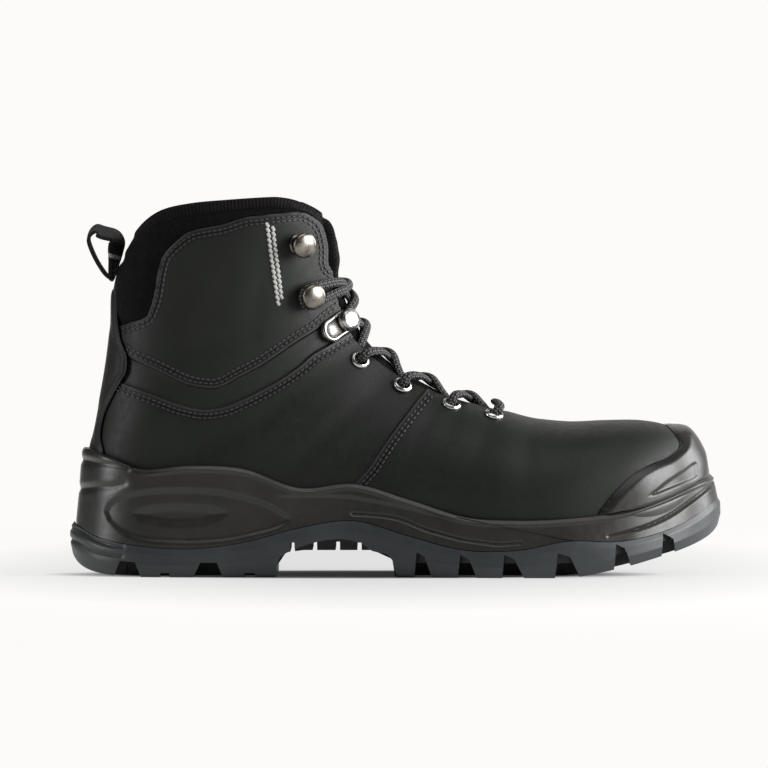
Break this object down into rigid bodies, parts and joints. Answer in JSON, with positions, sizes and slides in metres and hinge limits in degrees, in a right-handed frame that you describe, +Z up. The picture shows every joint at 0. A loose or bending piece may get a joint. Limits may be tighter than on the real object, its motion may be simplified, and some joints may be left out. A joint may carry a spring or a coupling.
{
  "type": "work boot",
  "caption": "Lace-up ankle-height safety work boot in black leather with a padded cuff, moulded midsole, toe guard and lugged rubber outsole.",
  "frame": {"origin": "on the floor under the middle of the sole", "axes": "+X to the toe, -Y to the lateral side, +Z up"},
  "size_m": [0.312, 0.1136, 0.1805],
  "materials": {
    "leather": "matt grained black leather",
    "moulding": "satin moulded foam",
    "rubber": "matt moulded rubber",
    "textile": "woven padded textile",
    "webbing": "black webbing and braided lace",
    "metal": "aged nickel plate"
  },
  "bodies": {
    "root": {"outsole": "rubber", "midsole": "moulding", "upper": "leather", "collar": "textile", "tongue": "textile", "insole": "textile", "toe_guard": "moulding", "backstay": "leather", "pull_loop": "webbing", "lace": "webbing", "eyelet_lateral_1": "metal", "eyelet_lateral_2": "metal", "eyelet_lateral_3": "metal", "eyelet_lateral_4": "metal", "hook_lateral_1": "metal", "hook_lateral_2": "metal", "lock_base_lateral": "metal", "lock_cam_lateral": "metal", "eyelet_medial_1": "metal", "eyelet_medial_2": "metal", "eyelet_medial_3": "metal", "eyelet_medial_4": "metal", "hook_medial_1": "metal", "hook_medial_2": "metal", "lock_base_medial": "metal", "lock_cam_medial": "metal"}
  },
  "joints": []
}
